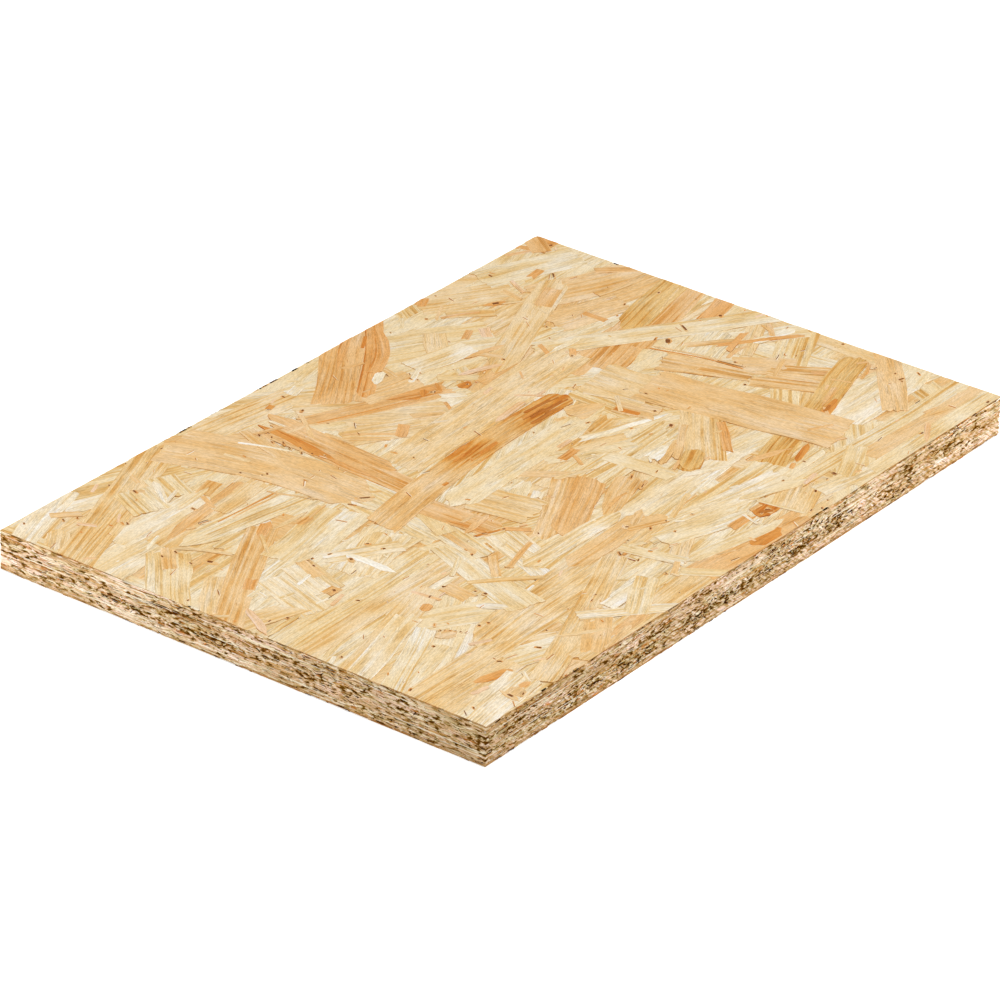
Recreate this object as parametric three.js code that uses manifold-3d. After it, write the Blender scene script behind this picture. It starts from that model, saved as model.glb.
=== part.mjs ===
// An OSB panel: one flat board of long wood strands, glued and hot-pressed in three layers.
// The strands of the two face layers lie along the board, and those of the core lie across it.
// The broad faces are pressed flat, and the four sides are sawn square. Where a strand ends
// inside the board, the strands above and below it close over a small gap. The saw opens these
// gaps, and each sawn side shows them as lens-shaped voids in level courses.
//
// Millimetres. The origin is the centre of the underside, X is the length, Y the width, Z is up.

import * as THREE from 'three';
import { mergeVertices } from 'three/addons/utils/BufferGeometryUtils.js';
import Module from 'manifold-3d';

// The board
const panelLength = 350;
const panelWidth = 240;
const panelThickness = 18;

// The strands that it is pressed from, and the depth of each of its two face layers
const strandThickness = 0.75;
const faceLayerThickness = 4;

// The voids. One is long where the strands lie along the sawn side, and short where the saw
// cuts across them.
const voidLengthAlongGrain = { least: 5, most: 13 };
const voidLengthAcrossGrain = { least: 2.5, most: 6 };
const voidHeight = { least: 0.6, most: 1.5 };
const voidDepth = { least: 1.5, most: 4 };

// Solid board between two voids of one course. The face layers are pressed more tightly.
const gapInFaceLayer = { least: 12, most: 48 };
const gapInCore = { least: 5, most: 24 };

const boardSeed = 18;
const woodColour = 0xe8c795;
const woodRoughness = 0.7;

const wasm = await Module();
wasm.setup();

// The strands fall by chance, but the same board comes out each time
function makeChance(seed) {
  let state = seed;
  return function chance() {
    state = (state + 0x6d2b79f5) | 0;
    let mixed = Math.imul(state ^ (state >>> 15), 1 | state);
    mixed = (mixed + Math.imul(mixed ^ (mixed >>> 7), 61 | mixed)) ^ mixed;
    return ((mixed ^ (mixed >>> 14)) >>> 0) / 2 ** 32;
  };
}

const chance = makeChance(boardSeed);

function pick(range) {
  return THREE.MathUtils.lerp(range.least, range.most, chance());
}

function eitherWay(amount) {
  return amount * (2 * chance() - 1);
}

function toSolid(geometry) {
  geometry.deleteAttribute('normal');
  geometry.deleteAttribute('uv');
  const merged = mergeVertices(geometry);
  const mesh = new wasm.Mesh({
    numProp: 3,
    vertProperties: merged.attributes.position.array,
    triVerts: new Uint32Array(merged.index.array),
  });
  return new wasm.Manifold(mesh);
}

function toGeometry(solid) {
  const mesh = solid.getMesh();
  const geometry = new THREE.BufferGeometry();
  geometry.setAttribute('position', new THREE.BufferAttribute(mesh.vertProperties, 3));
  geometry.setIndex(new THREE.BufferAttribute(mesh.triVerts, 1));
  geometry.computeVertexNormals();
  return geometry;
}

// The four sawn sides, each as it is seen from outside: how far it runs from left to right, how
// far it stands from the middle of the board, and how far it is turned about Z from the front
const sawnSides = [
  { name: 'front', turn: 0, run: panelLength, distance: panelWidth / 2 },
  { name: 'right', turn: Math.PI / 2, run: panelWidth, distance: panelLength / 2 },
  { name: 'back', turn: Math.PI, run: panelLength, distance: panelWidth / 2 },
  { name: 'left', turn: -Math.PI / 2, run: panelWidth, distance: panelLength / 2 },
];

// The courses that voids lie in, with a whole strand between one course and the next. As many
// lie below the middle of the board as above it, and a strand lies across the very middle.
const coursePitch = voidHeight.most + strandThickness;
const coursesPerHalf = Math.floor((panelThickness / 2 - strandThickness) / coursePitch);
const courses = [];
for (let course = -coursesPerHalf; course < coursesPerHalf; course += 1) {
  const fromMiddle = (course + 0.5) * coursePitch;
  courses.push({
    level: panelThickness / 2 + fromMiddle,
    isInFaceLayer: Math.abs(fromMiddle) > panelThickness / 2 - faceLayerThickness,
  });
}

// Voids keep so far from a corner that those of its two sides never meet
const cornerWithoutVoids = 2 * voidDepth.most;

// The section of a gap over a strand's end: two shallow curves from one sharp tip to the other,
// fullest to one side of the middle, where the strand that bridges it bends down
const facetsPerCurve = 3;
function voidOutline(length, height) {
  const tip = length / 2;
  const lean = eitherWay(length / 4);
  const outline = new THREE.Shape();
  outline.moveTo(-tip, 0);
  outline.quadraticCurveTo(-lean, -height, tip, 0);
  outline.quadraticCurveTo(lean, height, -tip, 0);
  return outline;
}

// What the saw leaves open of one gap. Half of this solid lies in the board, half outside it.
// The gap stays within its course, and tilts until its tips run into the strands beside it.
function voidSolid(side, along, level, length) {
  const height = pick(voidHeight);
  const depth = pick(voidDepth);
  const drift = eitherWay((voidHeight.most - height) / 2);
  const tilt = eitherWay(Math.atan(strandThickness / length));
  const gap = new THREE.ExtrudeGeometry(voidOutline(length, height), {
    depth: 2 * depth,
    bevelEnabled: false,
    curveSegments: facetsPerCurve,
  });
  gap.translate(0, 0, -depth);
  gap.rotateZ(tilt);
  gap.rotateX(Math.PI / 2);
  gap.translate(along, -side.distance, level + drift);
  gap.rotateZ(side.turn);
  return toSolid(gap);
}

// Takes one course of voids out of one side, from its left corner to its right
function openCourse(board, side, course) {
  const sideIsLong = side.name === 'front' || side.name === 'back';
  const strandsLieAlong = sideIsLong === course.isInFaceLayer;
  const lengths = strandsLieAlong ? voidLengthAlongGrain : voidLengthAcrossGrain;
  const gaps = course.isInFaceLayer ? gapInFaceLayer : gapInCore;
  const end = side.run / 2 - cornerWithoutVoids;
  let start = -end + gaps.most * chance();
  let length = pick(lengths);
  let opened = board;
  while (start + length < end) {
    opened = opened.subtract(voidSolid(side, start + length / 2, course.level, length));
    start += length + pick(gaps);
    length = pick(lengths);
  }
  return opened;
}

function pressedAndSawnBoard() {
  const blank = new THREE.BoxGeometry(panelLength, panelWidth, panelThickness);
  blank.translate(0, 0, panelThickness / 2);
  let board = toSolid(blank);
  for (const side of sawnSides) {
    for (const course of courses) {
      board = openCourse(board, side, course);
    }
  }
  return board;
}

const wood = new THREE.MeshStandardMaterial({
  color: woodColour,
  roughness: woodRoughness,
  metalness: 0,
  flatShading: true,
});

const osbPanel = new THREE.Mesh(toGeometry(pressedAndSawnBoard()), wood);
osbPanel.name = 'osb_panel';

const panel = new THREE.Group();
panel.add(osbPanel);

export default panel;
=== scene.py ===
# One OSB panel: a flat board of wood strands, glued and hot-pressed, with four sawn sides.
# The board is put together here as it is in the press: the inner mat, the strands that the saw
# cuts through on the four sides, the strands of the underside, and those of the top face.
# Metres; the board's frame has its origin at the centre of the underside, with Z up.

import math
from functools import cache

import bmesh
import bpy
import numpy as np
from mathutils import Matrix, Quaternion, Vector


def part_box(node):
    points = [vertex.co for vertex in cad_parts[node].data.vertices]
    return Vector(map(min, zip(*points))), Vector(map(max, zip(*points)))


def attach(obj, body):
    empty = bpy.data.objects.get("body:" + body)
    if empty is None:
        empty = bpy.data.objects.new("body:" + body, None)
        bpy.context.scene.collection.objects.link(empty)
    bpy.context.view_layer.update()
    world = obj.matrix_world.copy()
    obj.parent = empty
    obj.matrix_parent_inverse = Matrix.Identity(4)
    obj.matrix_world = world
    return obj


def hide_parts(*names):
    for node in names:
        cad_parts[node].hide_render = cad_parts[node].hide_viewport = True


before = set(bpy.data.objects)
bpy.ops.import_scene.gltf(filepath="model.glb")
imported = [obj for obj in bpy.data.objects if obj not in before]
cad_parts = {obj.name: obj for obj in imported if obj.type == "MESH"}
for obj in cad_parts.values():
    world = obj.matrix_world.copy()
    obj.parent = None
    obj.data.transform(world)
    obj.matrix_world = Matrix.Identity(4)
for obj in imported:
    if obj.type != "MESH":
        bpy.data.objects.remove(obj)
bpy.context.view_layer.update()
low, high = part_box("osb_panel")
length, width, thickness = high - low
mm = 0.001
chance = np.random.default_rng(18)

# ------------------------------------------------------------------------------------------------
# The inner mat. The strands that lie deeper than the saw's cut shows, pressed into one body,
# coloured dark brown as painted shade. It is seen only at the bottom of the voids in the sawn sides
# and between face strands.

mat_behind_side = 3.2 * mm
mat_behind_face = 1.3 * mm
mat_edge = 0.6 * mm

mat_shape = bmesh.new()
bmesh.ops.create_cube(mat_shape, size=1.0)
bmesh.ops.scale(
    mat_shape,
    verts=mat_shape.verts,
    vec=(
        length - 2 * mat_behind_side,
        width - 2 * mat_behind_side,
        thickness - 2 * mat_behind_face,
    ),
)
bmesh.ops.translate(mat_shape, verts=mat_shape.verts, vec=(0, 0, thickness / 2))
bmesh.ops.bevel(
    mat_shape,
    geom=mat_shape.edges[:],
    offset=mat_edge,
    affect="EDGES",
    segments=2,
    profile=0.5,
    material=-1,
)
mat_mesh = bpy.data.meshes.new("inner_mat")
mat_shape.to_mesh(mat_mesh)
mat_shape.free()
inner_mat = bpy.data.objects.new("inner_mat", mat_mesh)
bpy.context.scene.collection.objects.link(inner_mat)


def linear(red, green, blue):
    """A colour as it is seen, 0 to 255 a channel, as the shader wants it."""
    return tuple(
        c / 12.92 if c <= 0.04045 else ((c + 0.055) / 1.055) ** 2.4
        for c in (red / 255, green / 255, blue / 255)
    )


def new_finish(name, roughness, gloss):
    """A material with its node tree, and the Principled shader in it."""
    finish = bpy.data.materials.new(name)
    finish.use_nodes = True
    shader = finish.node_tree.nodes["Principled BSDF"]
    shader.inputs["Roughness"].default_value = roughness
    shader.inputs["Specular IOR Level"].default_value = gloss
    return finish, finish.node_tree, shader


def put(tree, kind, *values, **settings):
    """A new node of this kind with these settings, and these sockets or numbers going in."""
    made = tree.nodes.new(kind)
    for name, setting in settings.items():
        setattr(made, name, setting)
    for socket, value in zip(made.inputs, values):
        if isinstance(value, bpy.types.NodeSocket):
            tree.links.new(value, socket)
        else:
            socket.default_value = value
    return made


def on_board(tree):
    """The place on the board in mm."""
    place = put(tree, "ShaderNodeTexCoord").outputs["Object"]
    in_mm = put(tree, "ShaderNodeVectorMath", place, operation="SCALE")
    in_mm.inputs["Scale"].default_value = 1 / mm
    return in_mm.outputs["Vector"]


def grained(tree, place, stretch, detail=2.0, roughness=0.5):
    """Noise that is stretched along the grain: `stretch` is its size in mm along, across, deep."""
    mapping = put(tree, "ShaderNodeMapping", place, vector_type="POINT")
    mapping.inputs["Scale"].default_value = [1 / size for size in stretch]
    pattern = put(tree, "ShaderNodeTexNoise", mapping.outputs["Vector"])
    pattern.inputs["Scale"].default_value = 1.0
    pattern.inputs["Detail"].default_value = detail
    pattern.inputs["Roughness"].default_value = roughness
    return pattern.outputs["Fac"]


def between(tree, value, start, end, low_out=0.0, high_out=1.0):
    """A value brought from start..end to low_out..high_out, and held there outside it."""
    ramp = put(
        tree, "ShaderNodeMapRange", value, start, end, low_out, high_out, interpolation_type="SMOOTHSTEP"
    )
    return ramp.outputs["Result"]


def combined(tree, operation, *values):
    """These sockets or numbers added together, multiplied together, or the greatest of them."""
    total = values[0]
    for value in values[1:]:
        total = put(tree, "ShaderNodeMath", total, value, operation=operation).outputs["Value"]
    return total


def unsigned(tree, value):
    """A value without its sign."""
    return put(tree, "ShaderNodeMath", value, operation="ABSOLUTE").outputs["Value"]


def parts_of(tree, vector):
    """The X, Y and Z of a vector."""
    apart = put(tree, "ShaderNodeSeparateXYZ", vector)
    return [apart.outputs[axis] for axis in "XYZ"]


def carried(tree, label, kind="Vector"):
    """What the points of a piece carry under this label."""
    return put(tree, "ShaderNodeAttribute", attribute_name=label).outputs[kind]


def blended(tree, share, under, over, kind="MIX"):
    """The colour `over` laid on `under` by `share`. Each is a socket or a plain colour."""
    layer = put(tree, "ShaderNodeMix", data_type="RGBA", blend_type=kind)
    for socket, value in ((0, share), (6, under), (7, over)):
        if isinstance(value, tuple):
            layer.inputs[socket].default_value = (*value, 1.0)
        elif isinstance(value, (int, float)):
            layer.inputs[socket].default_value = value
        else:
            tree.links.new(value, layer.inputs[socket])
    return layer.outputs[2]


one_step_deeper = (0.905, 0.715, 0.417)
one_mark_darker = (0.83, 0.73, 0.60)


def deepened(tree, colour, steps, one_step=one_step_deeper):
    """A wood's colour so many steps deeper, towards orange brown, or paler where they are minus."""
    factor = put(tree, "ShaderNodeGamma", (*one_step, 1.0), steps)
    return blended(tree, 1.0, colour, factor.outputs["Color"], "MULTIPLY")


def finish_with(tree, shader, wood, relief=None, strength=0.0, deepest=0.0):
    """Gives the shader its wood and, from a pattern, a fine relief."""
    tree.links.new(wood, shader.inputs["Base Color"])
    if relief:
        bump = put(tree, "ShaderNodeBump")
        bump.inputs["Strength"].default_value = strength
        bump.inputs["Distance"].default_value = deepest
        tree.links.new(relief, bump.inputs["Height"])
        tree.links.new(bump.outputs["Normal"], shader.inputs["Normal"])


# The mat's dark brown is painted shade for the deep voids that show it
mat_finish, tree, shader = new_finish("inner_strands_painted_shade", roughness=0.9, gloss=0.0)
clumps = grained(tree, on_board(tree), (3.0, 3.0, 0.6))
painted_shade_wood = blended(tree, between(tree, clumps, 0.35, 0.7), linear(64, 37, 8), linear(128, 88, 42))
finish_with(tree, shader, painted_shade_wood)
mat_mesh.materials.append(mat_finish)

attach(inner_mat, "root")
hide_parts("osb_panel")

# ------------------------------------------------------------------------------------------------
# The sawn sides. The saw cuts through layer on layer of strands, and each shows as a long thin wavy
# section, with a void where one strand bridges the end of another. They are laid one on another all
# round the board, pressed to its thickness, and run on round its four corners.

station_step = 1.0 * mm
loose_strand = (0.42, 1.0)  # mm thick before pressing
loose_height = 19.5
cut_across_grain = (4.0, 15.0)  # mm long in the sawn side
cut_along_grain = (15.0, 55.0)
share_along_grain = 0.33
places_tried = 7  # a strand comes to lie at the lowest of so many places
stiffness = 10  # how many times a strand evens out what it lies on, and so how far it bridges
tapered_end = (1.5, 4.0)  # mm over which a strand's end reaches its full thickness
end_thickness = 0.25  # of the full thickness
swing = 0.12  # how far a strand's thickness and its recess swing along it, as a share of them
edge_rounding = 0.25  # of a strand's thickness
section_skin = 0.75 * mm  # the outermost strands belong to the two faces
glue_joint = 0.035 * mm
most_joint = 0.2  # of a strand's thickness, where that is less
section_depth = 3.6 * mm
section_recess = 0.22 * mm
saw_marks = 0.1 * mm
wood_apart = 900  # mm in the wood's pattern over which the strands are scattered

stations_long = round(length / station_step)
stations_short = round(width / station_step)
corner_stations = np.cumsum([0, stations_long, stations_short, stations_long, stations_short])
stations = int(corner_stations[-1])
corner_signs = np.array([(-1, -1), (1, -1), (1, 1), (-1, 1), (-1, -1)], float)


def round_the_board(station, depth):
    """The points at these stations round the board, this deep behind the saw's cut."""
    station = np.mod(station, stations)
    side = np.searchsorted(corner_stations, station, side="right") - 1
    share = (station - corner_stations[side]) / (corner_stations[side + 1] - corner_stations[side])
    corner = corner_signs[side] + (corner_signs[side + 1] - corner_signs[side]) * share[:, None]
    half = np.stack([length / 2 - depth, width / 2 - depth], axis=1)
    return corner * half


def evened(values):
    """Each value with its neighbours' mean, and the two ends as they are."""
    middle = (values[:-2] + 2 * values[1:-1] + values[2:]) / 4
    return np.concatenate([values[:1], middle, values[-1:]])


def settled(under, stiffness):
    """How a strand lies on these heights: it follows the high ones and bridges what is between."""
    bottom = under
    for _ in range(stiffness):
        bottom = np.maximum(under, evened(bottom))
    return bottom


def spread(values, start, end):
    """One smooth random wave for each call, along values from 0 to 1."""
    return np.sin(values * chance.uniform(start, end) + chance.uniform(0, 2 * math.pi))


pile = np.zeros(stations)
sections = []
while pile.mean() < loose_height:
    cut_lengths = cut_along_grain if chance.random() < share_along_grain else cut_across_grain
    reach = int(chance.uniform(*cut_lengths) * mm / station_step)
    places = chance.integers(0, stations, places_tried)
    start = min(places, key=lambda first: pile[np.arange(first, first + reach) % stations].mean())
    where = np.arange(start, start + reach + 1)
    bottom = settled(pile[where % stations], stiffness)
    along = np.linspace(0, 1, reach + 1)
    from_end = np.minimum(along, 1 - along) * reach
    full = np.minimum(1, from_end / chance.uniform(*tapered_end) + end_thickness)
    top = bottom + chance.uniform(*loose_strand) * full * (1 + swing * spread(along, 3, 12))
    sections.append((where, bottom, top))
    pile[where % stations] = top

section_tones = {
    "cream": (linear(246, 230, 205), 0.25),
    "pinkish": (linear(241, 212, 188), 0.42),
    "tan": (linear(237, 206, 170), 0.22),
    "golden": (linear(220, 178, 122), 0.08),
    "brown": (linear(185, 136, 80), 0.03),
}
one_step_browner = (0.80, 0.738, 0.57)
# Painted shade: the wood of the sawn sides is browner near the front-left corner, where the two near
# sides are darker
corner_shade_steps = 0.75  # steps by which the wood is browner at the front-left corner
corner_shade_reach = 70  # mm from that corner over which the wood turns paler
section_colours = [colour for colour, _ in section_tones.values()]
section_shares = [share for _, share in section_tones.values()]


def browner_and_corner_shaded(colour, station, steps=0.0):
    """A wood's colour so many steps deeper brown, and darker still near the front-left corner by painted
    shade.
    """
    from_corner = min(station % stations, -station % stations) * station_step / mm
    steps = steps + corner_shade_steps * math.exp(-from_corner / corner_shade_reach)
    return colour * np.array(one_step_browner) ** steps


def taken_apart(shape):
    """The points of a shape, and for each of its faces the numbers of the four at its corners."""
    shape.verts.index_update()
    points = np.array([vert.co for vert in shape.verts])
    faces = np.array([[vert.index for vert in face.verts] for face in shape.faces])
    shape.free()
    return points, faces


def in_order(places, faces):
    """The points by their places, and the faces by their points, each from its lowest on. What
    draws a shape may number them in another order the next time."""
    order = np.lexsort(places.T[::-1])
    faces = np.argsort(order)[faces]
    turned = (faces.argmin(axis=1)[:, None] + np.arange(4)) % 4
    faces = np.take_along_axis(faces, turned, axis=1)
    return places[order].T, faces[np.lexsort(faces.T[::-1])]


@cache
def drawn_bar(rings, corners):
    """A bar that is drawn from a ring of so many corners through so many rings, its ends open. It
    gives the ring and the corner that each point is at, and the faces."""
    shape = bmesh.new()
    bmesh.ops.create_circle(shape, segments=corners, radius=1.0)
    bmesh.ops.spin(
        shape,
        geom=shape.verts[:] + shape.edges[:],
        cent=(0, 0, 0),
        axis=(0, 0, 1),
        dvec=(0, 0, 1),
        angle=0.0,
        steps=rings - 1,
    )
    points, faces = taken_apart(shape)
    turn = np.arctan2(-points[:, 0], points[:, 1]) / (2 * math.pi) * corners
    places = np.column_stack([points[:, 2].round(), turn.round() % corners]).astype(int)
    return in_order(places, faces)


def ends_closed(shape):
    """Closes every open end or underside with one face."""
    bmesh.ops.holes_fill(shape, edges=[edge for edge in shape.edges if edge.is_boundary])


class Strands:
    """Many small closed shapes gathered into one mesh, with the wood of each at its points."""

    def __init__(self):
        self.points, self.faces, self.grain, self.tone, self.figure = [], [], [], [], []
        self.count = 0

    def gather(self, points, faces, grain, tone, figure):
        """`grain` is each point's place in the wood in mm. `figure` is how bold the wood's rings
        are, how far the point is from the rim, and how much resin it holds. In the sawn sides it
        only tells a crumb, with 1, from a strand."""
        self.points.append(points)
        self.faces.append(faces + self.count)
        self.grain.append(grain)
        self.tone.append(np.tile((*tone, 1.0), (len(points), 1)))
        self.figure.append(np.broadcast_to(figure, (len(points), 3)))
        self.count += len(points)

    def made(self, name):
        """The piece by this name, in the scene."""
        mesh = bpy.data.meshes.new(name)
        mesh.from_pydata(np.concatenate(self.points), [], np.concatenate(self.faces).tolist())
        for label, kind, where, values in (
            ("grain", "FLOAT_VECTOR", "vector", self.grain),
            ("figure", "FLOAT_VECTOR", "vector", self.figure),
            ("tone", "FLOAT_COLOR", "color", self.tone),
        ):
            layer = mesh.attributes.new(label, kind, "POINT")
            layer.data.foreach_set(where, np.concatenate(values).astype(np.float32).ravel())
        made = bpy.data.objects.new(name, mesh)
        bpy.context.scene.collection.objects.link(made)
        return made


side_names = ("lower_side_strands", "core_side_strands", "upper_side_strands")
core_between = (0.25, 0.75)  # shares of the board's thickness
side_pieces = {name: Strands() for name in side_names}
pressed = (thickness - 2 * section_skin) / pile
for where, bottom, top in sections:
    floor_z = section_skin + bottom * pressed[where % stations]
    roof_z = section_skin + top * pressed[where % stations]
    gap = np.minimum(glue_joint, (roof_z - floor_z) * most_joint)
    floor_z, roof_z = floor_z + gap, roof_z - gap
    middle_z = (floor_z + roof_z) / 2
    along = np.linspace(0, 1, len(where))
    recess = section_recess * (chance.random() ** 2 + swing * (1 + spread(along, 5, 40)))
    recess = recess + saw_marks * chance.random(len(where))
    rounded = recess + edge_rounding * (roof_z - floor_z)
    deep = np.full(len(where), section_depth)
    outline = (
        (floor_z, rounded),
        (middle_z, recess),
        (roof_z, rounded),
        (roof_z, deep),
        (floor_z, deep),
    )
    points = [np.column_stack([round_the_board(where, depth), level]) for level, depth in outline]
    seed = chance.uniform(0, wood_apart)
    along_mm = where * station_step / mm
    grain = [np.column_stack([along_mm, level / mm, seed + depth / mm]) for level, depth in outline]
    (ring, corner), faces = drawn_bar(len(where), len(outline))
    points, grain = np.stack(points)[corner, ring], np.stack(grain)[corner, ring]
    tone = np.array(section_colours[chance.choice(len(section_tones), p=section_shares)])
    # the tone, browner at random, with painted shade near the front-left corner
    tone = browner_and_corner_shaded(tone, where.mean(), chance.uniform(-0.3, 0.3))
    name = side_names[np.searchsorted(core_between, middle_z.mean() / thickness)]
    side_pieces[name].gather(points, faces, grain, tone, (0.0, 0.0, 0.0))

# Crumbs: fibres that the saw has torn and bent, every way up, all over the four sides. Most lie in
# clusters, where the core is loosest, with dark crumbs between pale chips as painted shade of the
# gaps there.
crumb_count = 4300
crumb_length, crumb_height = (0.9, 2.8), (0.25, 0.62)  # mm
crumb_tilt = 0.45
crumb_front = 0.25  # mm behind the saw's cut at most
share_in_clusters = 0.42
cluster_count = 40
cluster_level = (9.0, 2.6)  # mm above the underside, and how far they stray from it
cluster_reach, cluster_rise = (2.5, 9.0), (0.8, 1.8)  # mm along and upward
cluster_bulk = 1.4  # times the size of a crumb that lies by itself
crumb_tones = {
    "cream": linear(243, 231, 209),
    "tan": linear(229, 196, 158),
    "golden brown": linear(168, 122, 60),
    # the dark crumbs are painted shade of the gaps between chips
    "dark": linear(76, 39, 2),
    "rust": linear(214, 138, 66),
}
even_shares = [0.38, 0.40, 0.15, 0.05, 0.02]
cluster_shares = [0.34, 0.17, 0.14, 0.32, 0.03]
fibre_shares = [0.60, 0.34, 0.06, 0.0, 0.0]
rim_shares = [0.05, 0.22, 0.40, 0.28, 0.05]
pale_fibre_count = 420
fibre_length, fibre_height = (3.5, 13), (0.14, 0.32)  # mm
fibre_front = 0.06
rim_crumb_count = 560
rim_crumb_length, rim_crumb_height = (1.2, 6.0), (0.2, 0.5)  # mm
rim_crumb_front = 0.04
crumb_margin = (0.15, 0.6)  # mm kept to the underside and to the top face
crumb_root = 0.9  # mm deep in the side
way_round = stations * station_step / mm
clusters = np.column_stack([
    chance.uniform(0, stations, cluster_count) * station_step / mm,
    chance.normal(*cluster_level, cluster_count),
    chance.uniform(*cluster_reach, cluster_count),
    chance.uniform(*cluster_rise, cluster_count),
])
crumb_shape = bmesh.new()
bmesh.ops.create_cube(crumb_shape, size=2.0)
(crumb_depth, crumb_upward, crumb_along), crumb_faces = in_order(*taken_apart(crumb_shape))
at_front = crumb_depth < 0
crumbs = Strands()


def tear(along, level, long, high, turn, furthest_back, shares):
    """One crumb by its middle, its length and height, and its turn from the level."""
    many = len(crumb_along)
    across = crumb_along * long / 2 * chance.uniform(0.5, 1, many)
    upward = crumb_upward * high / 2 * chance.uniform(0.4, 1, many)
    station = (along + across * math.cos(turn) - upward * math.sin(turn)) * mm / station_step
    if len(set(np.searchsorted(corner_stations, np.mod(station, stations), side="right"))) > 1:
        return
    level = level + across * math.sin(turn) + upward * math.cos(turn)
    level = level.clip(crumb_margin[0], thickness / mm - crumb_margin[1]) * mm
    depth = np.full(many, crumb_root)
    depth[at_front] = chance.uniform(0.02, furthest_back, at_front.sum())
    depth = depth * mm
    points = np.column_stack([round_the_board(station, depth), level])
    seed = np.full(many, chance.uniform(0, wood_apart))
    grain = np.column_stack([station * station_step / mm, level / mm, seed])
    tone = np.array(list(crumb_tones.values())[chance.choice(len(crumb_tones), p=shares)])
    tone = browner_and_corner_shaded(tone * chance.uniform(0.85, 1.1), station.mean())
    crumbs.gather(points, crumb_faces, grain, tone, (1.0, 0.0, 0.0))


for _ in range(crumb_count):
    in_cluster = chance.random() < share_in_clusters
    if in_cluster:
        along, level, reach, rise = clusters[chance.integers(cluster_count)]
        along, level = chance.normal((along, level), (reach, rise))
    else:
        along, level = chance.uniform((0, 0), (way_round, thickness / mm))
    bulk = cluster_bulk if in_cluster else 1.0
    long, high = chance.uniform(*crumb_length) * bulk, chance.uniform(*crumb_height) * bulk
    turn = chance.normal(0, crumb_tilt)
    shares = cluster_shares if in_cluster else even_shares
    tear(along, level, long, high, turn, crumb_front, shares)

# Long pale fibres that the saw has left standing, and dark crumbs along the rims of the two faces
for _ in range(pale_fibre_count):
    along, level = chance.uniform((0, 1.5), (way_round, thickness / mm - 1.5))
    long, high = chance.uniform(*fibre_length), chance.uniform(*fibre_height)
    tear(along, level, long, high, chance.normal(0, 0.05), fibre_front, fibre_shares)
for _ in range(rim_crumb_count):
    from_face = chance.uniform(0.25, 1.1)
    level = from_face if chance.random() < 0.5 else thickness / mm - from_face
    along = chance.uniform(0, way_round)
    long, high = chance.uniform(*rim_crumb_length), chance.uniform(*rim_crumb_height)
    tear(along, level, long, high, chance.normal(0, 0.06), rim_crumb_front, rim_shares)
side_pieces["side_crumbs"] = crumbs

side_finish, tree, shader = new_finish("sawn_strands", roughness=0.9, gloss=0.0)
grain, tone = carried(tree, "grain"), carried(tree, "tone", "Color")
through_all = 1e6  # mm deep into the wood, so that a pattern runs on from one strand to the next
fibres = grained(tree, grain, (5.0, 0.22, 5.0), detail=3.0)
pores = grained(tree, grain, (3.2, 1.2, through_all), detail=3.0, roughness=0.55)
loose = grained(tree, grain, (16.0, 4.5, through_all), detail=1.0)
region = grained(tree, grain, (34.0, 7.0, through_all), detail=1.0)
bark = grained(tree, grain, (6.0, 1.5, through_all))
long_lines = grained(tree, grain, (70.0, 0.9, through_all), detail=1.0)
tilted = put(tree, "ShaderNodeMapping", grain, vector_type="POINT")
tilted.inputs["Rotation"].default_value = (0, 0, math.radians(36))
hatch = grained(tree, tilted.outputs["Vector"], (6.0, 1.1, through_all))
rusty = grained(tree, grain, (7.0, 1.9, through_all))

_, height, _ = parts_of(tree, grain)
_, faces_front, _ = parts_of(tree, put(tree, "ShaderNodeNewGeometry").outputs["Normal"])
is_crumb, _, _ = parts_of(tree, carried(tree, "figure"))
long_side = between(tree, unsigned(tree, faces_front), 0.3, 0.7, 0.25, 1.0)
lower = between(tree, height, 12.0, 6.0, 0.5, 1.0)
near_top = between(tree, height, 14.0, 17.5, 0.0, 0.07)
near_underside = between(tree, height, 4.0, 0.5, 0.0, 0.07)
plain = between(tree, is_crumb, 0.0, 1.0, 1.0, 0.15)
from_core = unsigned(tree, combined(tree, "SUBTRACT", height, thickness / mm / 2))
core = between(tree, from_core, 2.0, 8.0, 0.025, -0.045)
# Where the pores open, the wood is painted up to eight steps deeper brown: painted shade of the voids,
# more of it in the loose core
void_shade = combined(tree, "ADD", pores, core, between(tree, loose, 0.3, 0.7, -0.09, 0.10))
steps = combined(
    tree,
    "ADD",
    between(tree, fibres, 0.3, 0.7, -0.25, 0.50),
    between(tree, region, 0.35, 0.65, -0.25, 0.7),
    between(tree, combined(tree, "ADD", bark, near_top, near_underside), 0.55, 0.68, 0.0, 2.2),
    combined(tree, "MULTIPLY", between(tree, hatch, 0.44, 0.62, -0.4, 2.0), lower, long_side),
    combined(tree, "MULTIPLY", between(tree, void_shade, 0.545, 0.68, 0.0, 8.0), plain),
)
wood = deepened(tree, tone, steps, one_step_browner)
rust_share = combined(tree, "MULTIPLY", between(tree, rusty, 0.60, 0.70, 0.0, 0.75), plain)
wood = blended(tree, rust_share, wood, linear(198, 128, 58))
pale_share = combined(tree, "MULTIPLY", between(tree, pores, 0.42, 0.34, 0.0, 0.68), plain)
wood = blended(tree, pale_share, wood, linear(246, 233, 213))
wood = blended(tree, between(tree, long_lines, 0.63, 0.68, 0.0, 0.8), wood, linear(248, 237, 212))
finish_with(tree, shader, wood, relief=pores, strength=0.6, deepest=0.15 * mm)

for name, strands in side_pieces.items():
    layer = strands.made(name)
    shape = bmesh.new()
    shape.from_mesh(layer.data)
    ends_closed(shape)
    bmesh.ops.recalc_face_normals(shape, faces=shape.faces)
    shape.to_mesh(layer.data)
    shape.free()
    layer.data.materials.append(side_finish)
    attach(layer, "root")
    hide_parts("osb_panel")

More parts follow.
